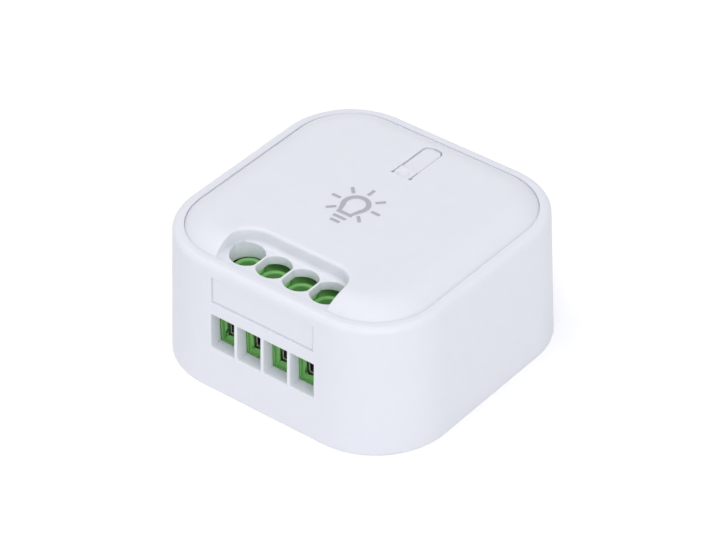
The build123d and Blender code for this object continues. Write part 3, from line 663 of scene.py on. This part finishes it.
class MODULE_OT_sign(bpy.types.Operator):
    """Print the light bulb sign on the lid"""
    bl_idname = "lighting_module.sign"
    bl_label = "Light bulb sign"

    def execute(self, context):
        settings = context.scene.module_sign
        form = bmesh.new()
        radius, half = settings.bulb_radius, settings.bulb_line / 2
        neck = radians(NECK_ANGLE)
        ends = [form.verts.new((reach * cos(neck), reach * sin(neck), 0))
                for reach in (radius - half, radius + half)]
        start = form.edges.new(ends)
        made = bmesh.ops.spin(form, geom=ends + [start], cent=(0, 0, 0), axis=(0, 0, 1),
                              angle=pi - 2 * neck, steps=BULB_STEPS)
        last = [item for item in made["geom_last"] if isinstance(item, bmesh.types.BMEdge)][0]
        for edge, side in ((start, 1), (last, -1)):
            drawn = bmesh.ops.extrude_edge_only(form, edges=[edge])["geom"]
            for vert in [item for item in drawn if isinstance(item, bmesh.types.BMVert)]:
                inner = vert.co.length < radius
                vert.co = (side * (NECK_INNER if inner else NECK_OUTER), -NECK_DROP, 0)
        length, width, below = NECK_BAR
        self.bar(form, length, width, (0, below), 0)
        for length, below in BASE_BARS:
            self.bar(form, length, settings.line, (0, below), 0)
        middle = (settings.ray_start + settings.ray_end) / 2
        for angle in RAY_ANGLES:
            turn = radians(angle)
            self.bar(form, settings.ray_end - settings.ray_start, settings.line,
                     (middle * cos(turn), middle * sin(turn)), turn)
        bmesh.ops.remove_doubles(form, verts=form.verts, dist=SIGN_MERGE_REACH)
        bmesh.ops.recalc_face_normals(form, faces=form.faces)
        lifted = bmesh.ops.extrude_face_region(form, geom=form.faces[:])["geom"]
        bmesh.ops.translate(form, verts=[item for item in lifted if isinstance(item, bmesh.types.BMVert)],
                            vec=(0, 0, settings.thickness))
        bmesh.ops.translate(form, verts=form.verts, vec=(*settings.centre, LID_TOP))
        bmesh.ops.recalc_face_normals(form, faces=form.faces)
        ink = screen_ink(context.scene.module_finish.ink)
        new_piece(form, "light_bulb_sign", [ink])
        return {"FINISHED"}

    def bar(self, form, length, width, middle, turn):
        """A short line of the sign with eased corners."""
        place = Matrix.Translation((*middle, 0)) @ Matrix.Rotation(turn, 4, "Z") @ Matrix.Diagonal(
            (length, width, 1, 1))
        made = bmesh.ops.create_grid(form, x_segments=1, y_segments=1, size=0.5, matrix=place)["verts"]
        bmesh.ops.bevel(form, geom=made, offset=BAR_CORNER, offset_type="OFFSET", affect="VERTICES",
                        segments=3, profile=0.5, material=-1)


class MODULE_OT_terminals(bpy.types.Operator):
    """Make the green terminal housing, its screws, rising clamps and contact bars"""
    bl_idname = "lighting_module.terminals"
    bl_label = "Terminals"

    def execute(self, context):
        settings = context.scene.module_finish
        green = moulded_plastic("moulded_green_polyamide", settings.green, 0.1 * mm, 0.42, 1.53)
        form = merged_form("terminal_housing", widen_throats, bring_forward, self.lift_top)
        bmesh.ops.triangulate(form, faces=[face for face in form.faces if len(face.verts) > PLAIN_CORNERS])
        piece = new_piece(form, "terminal_housing_moulding", [green],
                          nodes=("terminal_housing",))
        soften(piece, settings.housing_edge, settings.edge_segments)
        zinc = plated_metal("turned_zinc_plated_steel", "B9BCC0", 0.34, 0.12 * mm, (1.0, 1.0, 6.0))
        nickel = plated_metal("stamped_nickel_plated_steel", "C4C2BC", 0.3, 0.12 * mm)
        tin = plated_metal("stamped_tinned_copper", "C9C6BE", 0.38, 0.15 * mm)
        for pole in POLES:
            screw = self.screw_form("terminal_screw_%d" % pole)
            self.metal(screw, "terminal_screw", zinc, "zinc_plated_steel", "screw_%d" % pole, pole)
            clamp = merged_form("wire_clamp_%d" % pole, bring_forward)
            bored = [face for face in clamp.faces if abs(face.normal.z) > LEVEL]
            bmesh.ops.triangulate(clamp, faces=bored)
            self.metal(clamp, "wire_clamp", nickel, "nickel_plated_steel", "clamp_%d" % pole, pole)
            bar = merged_form("contact_bar_%d" % pole, bring_forward)
            self.metal(bar, "contact_bar", tin, "tinned_copper", "module", pole)
        return {"FINISHED"}

    def lift_top(self, form):
        """Raise the housing's flat top nearer to the lid."""
        for vert in form.verts:
            if abs(vert.co.z - HOUSING_TOP) < NEAR:
                vert.co.z += bpy.context.scene.module_finish.top_lift

    def metal(self, form, kind, material, slot, body, pole):
        """One metal piece of a pole with its sharp edges eased."""
        piece = new_piece(form, "%s_%d_finished" % (kind, pole), [material], body,
                          ("%s_%d" % (kind, pole),))
        soften(piece, bpy.context.scene.module_finish.part_edge, 2)

    def open_slot(self, form):
        """Cut the driver slot through the top of a screw's head."""
        across = [vert.co.x for vert in form.verts]
        top = max(vert.co.z for vert in form.verts)
        centre = (min(across) + max(across)) / 2
        for side in (-SLOT_HALF, SLOT_HALF):
            bmesh.ops.bisect_plane(form, geom=form.verts[:] + form.edges[:] + form.faces[:], dist=1e-7,
                                   plane_co=(centre + side, 0, 0), plane_no=(1, 0, 0))
        middles = {face: face.calc_center_median() for face in form.faces}
        over = [face for face, middle in middles.items()
                if abs(middle.x - centre) < SLOT_HALF - 0.01 * mm and middle.z > top - SLOT_REACH]
        bmesh.ops.delete(form, geom=over, context="FACES")
        bmesh.ops.holes_fill(form, edges=[edge for edge in form.edges if len(edge.link_faces) == 1], sides=0)

    def screw_form(self, node):
        """A screw with a helical thread wound round its drawn-in shank."""
        form = merged_form(node, self.open_slot)
        low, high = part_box(node)
        centre = ((low[0] + high[0]) / 2, (low[1] + high[1]) / 2)
        underside = high[2] - HEAD_HEIGHT
        shank = [vert for vert in form.verts if vert.co.z < underside + NEAR / 2
                 and hypot(vert.co.x - centre[0], vert.co.y - centre[1]) < SHANK_REACH]
        bmesh.ops.scale(form, vec=(SHANK_DRAWN_IN, SHANK_DRAWN_IN, 1.0), verts=shank,
                        space=Matrix.Translation((-centre[0], -centre[1], 0)))
        turns = int((underside - low[2]) / THREAD_PITCH) - 1
        ridge = [form.verts.new((centre[0] + radius * mm, centre[1], low[2] + height * mm))
                 for radius, height in THREAD_PROFILE]
        loop = [form.edges.new((ridge[index - 1], ridge[index])) for index in range(len(ridge))]
        made = bmesh.ops.spin(form, geom=ridge + loop, cent=(*centre, 0), axis=(0, 0, 1), angle=turns * tau,
                              steps=turns * THREAD_STEPS, dvec=(0, 0, THREAD_PITCH / THREAD_STEPS))
        for end in (loop, [item for item in made["geom_last"] if isinstance(item, bmesh.types.BMEdge)]):
            bmesh.ops.contextual_create(form, geom=end)
        bmesh.ops.recalc_face_normals(form, faces=form.faces)
        return form


class MODULE_OT_boards(bpy.types.Operator):
    """Finish the two boards, the header between them and the solder joints"""
    bl_idname = "lighting_module.boards"
    bl_label = "Boards"

    def execute(self, context):
        edge = context.scene.module_finish.part_edge
        mask = solder_mask()
        tin = plated_metal("drawn_tinned_brass", "CFC8B4", 0.32, 0.1 * mm, (1.0, 1.0, 0.2))
        black = moulded_plastic("moulded_black_header_nylon", "1E1F21", 0.08 * mm, 0.5)
        for node in ("main_board", "radio_board"):
            new_piece(merged_form(node), node + "_laminate", [mask], nodes=(node,))
        soften(new_piece(merged_form("header_block"), "header_block_moulding", [black],
                         nodes=("header_block",)), edge, 2)
        for node in ("header_pins", "relay_pins"):
            soften(new_piece(merged_form(node), node + "_drawn", [tin], nodes=(node,)),
                   edge, 2)
        solder = plated_metal("reflowed_tin_solder", "C7C9CC", 0.22, 0.3 * mm, (1.0, 1.0, 1.0))
        form = bmesh.new()
        for node in ("contact_bar_1", "contact_bar_2", "contact_bar_3", "contact_bar_4", "relay_pins",
                     "header_pins", "film_capacitor", "varistor", "smoothing_capacitor", "fusible_resistor"):
            for place in self.pin_places(node, BOARD_UNDER - LEAD_CUT):
                self.joint(form, place, BOARD_UNDER, 1.0)
        for place in self.pin_places("header_pins", RADIO_TOP + LEAD_CUT):
            self.joint(form, place, RADIO_TOP, -0.8)
        bmesh.ops.recalc_face_normals(form, faces=form.faces)
        joints = new_piece(form, "solder_joints", [solder])
        for polygon in joints.data.polygons:
            polygon.use_smooth = True
        return {"FINISHED"}

    def pin_places(self, node, height):
        """The middle of each lead of a node where it passes a height."""
        form = merged_form(node)
        cut = bmesh.ops.bisect_plane(form, geom=form.verts[:] + form.edges[:] + form.faces[:], dist=1e-7,
                                     plane_co=(0, 0, height), plane_no=(0, 0, 1))["geom_cut"]
        rest = [item.co.copy() for item in cut if isinstance(item, bmesh.types.BMVert)]
        places = []
        while rest:
            seed = rest[0]
            loop = [co for co in rest if (co - seed).length < LEAD_SPREAD]
            rest = [co for co in rest if (co - seed).length >= LEAD_SPREAD]
            low = Vector([min(co[axis] for co in loop) for axis in range(3)])
            high = Vector([max(co[axis] for co in loop) for axis in range(3)])
            places.append((low + high) / 2)
        form.free()
        return places

    def joint(self, form, place, face, drop):
        """A solder fillet that climbs a lead in a hollow cone: down for a positive drop, else up."""
        verts = [form.verts.new((place.x + radius * abs(drop) * mm, place.y, face - height * drop * mm))
                 for radius, height in SOLDER_PROFILE]
        edges = [form.edges.new(pair) for pair in zip(verts, verts[1:])]
        bmesh.ops.spin(form, geom=verts + edges, cent=place, axis=(0, 0, 1), angle=tau,
                       steps=JOINT_STEPS, use_merge=True)
        near = [vert for vert in form.verts if (vert.co - place).length < JOINT_REACH]
        bmesh.ops.remove_doubles(form, verts=near, dist=FINE_MERGE_REACH)


class MODULE_OT_components(bpy.types.Operator):
    """Finish the relay, the capacitors, the varistor, the resistor and the choke"""
    bl_idname = "lighting_module.components"
    bl_label = "Components"

    def execute(self, context):
        near = NEAR / 2
        lead = plated_metal("drawn_tinned_copper_lead", "CDCBC6", 0.3, 0.1 * mm, (1.0, 1.0, 0.2))
        case = moulded_plastic("moulded_black_polyester", "232427", 0.1 * mm, 0.38)
        dressed("relay_case", [case], 0.15 * mm, 3)
        case = moulded_plastic("moulded_yellow_polyester_case", "D8B23A", 0.1 * mm, 0.36)
        dressed("film_capacitor", [case, lead], 0.15 * mm, 3,
                lambda place: place.z < BOARD_TOP - near)
        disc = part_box("varistor")[1][2] - VARISTOR_DISC
        coat = fired_or_dipped("dipped_blue_epoxy", "2D6C9E", 0.35, 0.3 * mm, coat=0.4)
        dressed("varistor", [coat, lead], 0.5 * mm, 3,
                lambda place: place.z < disc)
        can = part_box("smoothing_capacitor")[1][0] - CAPACITOR_CAN
        sleeve = moulded_plastic("shrunk_dark_pvc_sleeve", "23272E", 0.2 * mm, 0.28)
        dressed("smoothing_capacitor", [sleeve, lead], 0.25 * mm, 3,
                lambda place: place.x < can - near or place.z < BOARD_TOP - near)
        low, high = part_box("fusible_resistor")
        ends = (low[1] + RESISTOR_LEAD, high[1] - RESISTOR_LEAD)
        dressed("fusible_resistor", [banded_coating(*ends), lead], 0.25 * mm, 3,
                lambda place: not ends[0] - near < place.y < ends[1] + near
                or place.z < BOARD_TOP + LEAD_CUT)
        core = fired_or_dipped("sintered_ferrite", "3A3B3E", 0.62, 0.25 * mm, index=2.0)
        dressed("choke_core", [core], 0.12 * mm, 3)
        return {"FINISHED"}


class MODULE_OT_winding(bpy.types.Operator):
    """Wind the choke with enamelled wire"""
    bl_idname = "lighting_module.winding"
    bl_label = "Choke winding"

    def execute(self, context):
        low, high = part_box("choke_winding")
        centre = ((low[0] + high[0]) / 2, (low[1] + high[1]) / 2, 0)
        outer = (high[0] - low[0]) / 2
        half = WINDING_WIRE / 2
        rows = int((high[2] - low[2]) / WINDING_WIRE)
        rise = (high[2] - low[2]) / rows
        form = bmesh.new()
        profile = [(WINDING_BORE, low[2])]
        for row in range(rows):
            middle = low[2] + (row + 0.5) * rise
            for step in range(WIRE_STEPS + 1):
                turn = pi * (step / WIRE_STEPS - 0.5)
                profile.append((outer - half + half * cos(turn), middle + half * sin(turn)))
        profile.append((WINDING_BORE, high[2]))
        verts = [form.verts.new((centre[0] + radius, centre[1], height)) for radius, height in profile]
        edges = [form.edges.new((verts[index - 1], verts[index])) for index in range(len(verts))]
        bmesh.ops.spin(form, geom=verts + edges, cent=centre, axis=(0, 0, 1), angle=tau,
                       steps=WINDING_STEPS, use_merge=True)
        bmesh.ops.remove_doubles(form, verts=form.verts, dist=FINE_MERGE_REACH)
        bmesh.ops.recalc_face_normals(form, faces=form.faces)
        copper = plated_metal("enamelled_copper_wire", "B5652F", 0.3, 0.1 * mm)
        piece = new_piece(form, "choke_winding_wound", [copper],
                          nodes=("choke_winding",))
        for polygon in piece.data.polygons:
            polygon.use_smooth = True
        return {"FINISHED"}


class MODULE_OT_chips(bpy.types.Operator):
    """Finish the chips, the crystal, the antenna, the light and its guide, and the push switch"""
    bl_idname = "lighting_module.chips"
    bl_label = "Chips and switch"

    def execute(self, context):
        edge = context.scene.module_finish.part_edge
        resin = moulded_plastic("moulded_black_epoxy", "27282B", 0.05 * mm, 0.55)
        foot = plated_metal("stamped_tinned_lead_frame", "C8C8C8", 0.35, 0.06 * mm)
        steel = plated_metal("drawn_stainless_steel", "C9C9C7", 0.28, 0.08 * mm)
        for node in ("bridge_rectifier", "converter_chip"):
            low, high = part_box(node)
            dressed(node, [resin, foot], edge,
                    test=lambda place, low=low, high=high: place.z < BOARD_TOP + CHIP_LEAD_TOP
                    and not low[1] + CHIP_LEAD_REACH < place.y < high[1] - CHIP_LEAD_REACH)
        dressed("radio_chip", [resin], edge)
        dressed("crystal", [steel], edge)
        ceramic = fired_or_dipped("sintered_white_ceramic", "E8E6DF", 0.3, 0.1 * mm)
        dressed("chip_antenna", [ceramic], edge)
        dressed("status_light", [self.amber()], edge)
        dressed("light_guide", [clear_plastic()], edge)
        dressed("switch_body", [resin], edge)
        dressed("switch_cover", [steel], edge)
        nylon = moulded_plastic("moulded_charcoal_nylon", "33343A", 0.06 * mm, 0.45)
        dressed("switch_plunger", [nylon], edge, body="plunger")
        return {"FINISHED"}

    def amber(self):
        """Amber silicone lens over a light chip: cloudy, and a little soft to the eye."""
        material, tree = new_material("cast_amber_silicone")
        sockets = speckled(tree, linear("E9A437"), linear("F2C463"), 0.1 * mm, 0.3)
        sockets.update({"IOR": 1.41, "Transmission Weight": 0.4})
        finish_surface(tree, add(tree, "ShaderNodeBsdfPrincipled", sockets))
        return material


PROPERTY_GROUPS = {
    "module_stage": StageSettings,
    "module_finish": FinishSettings,
    "module_sign": SignSettings,
}
OPERATORS = (MODULE_OT_stage, MODULE_OT_shells, MODULE_OT_sign, MODULE_OT_terminals, MODULE_OT_boards,
             MODULE_OT_components, MODULE_OT_winding, MODULE_OT_chips)


class MODULE_PT_sidebar(bpy.types.Panel):
    """Lists the steps that dress the module"""
    bl_idname = "MODULE_PT_sidebar"
    bl_label = "Lighting Module"
    bl_space_type = "VIEW_3D"
    bl_region_type = "UI"
    bl_category = "Lighting Module"

    def draw(self, context):
        for operator in OPERATORS:
            self.layout.operator(operator.bl_idname)


def register():
    for name, group in PROPERTY_GROUPS.items():
        bpy.utils.register_class(group)
        setattr(bpy.types.Scene, name, PointerProperty(type=group))
    for operator in OPERATORS:
        bpy.utils.register_class(operator)
    bpy.utils.register_class(MODULE_PT_sidebar)


def unregister():
    bpy.utils.unregister_class(MODULE_PT_sidebar)
    for operator in reversed(OPERATORS):
        bpy.utils.unregister_class(operator)
    for name, group in reversed(PROPERTY_GROUPS.items()):
        delattr(bpy.types.Scene, name)
        bpy.utils.unregister_class(group)


def main():
    register()
    steps = bpy.ops.lighting_module
    for step in (steps.stage, steps.shells, steps.sign, steps.terminals, steps.boards, steps.components,
                 steps.winding, steps.chips):
        step()


if __name__ == "__main__":
    main()
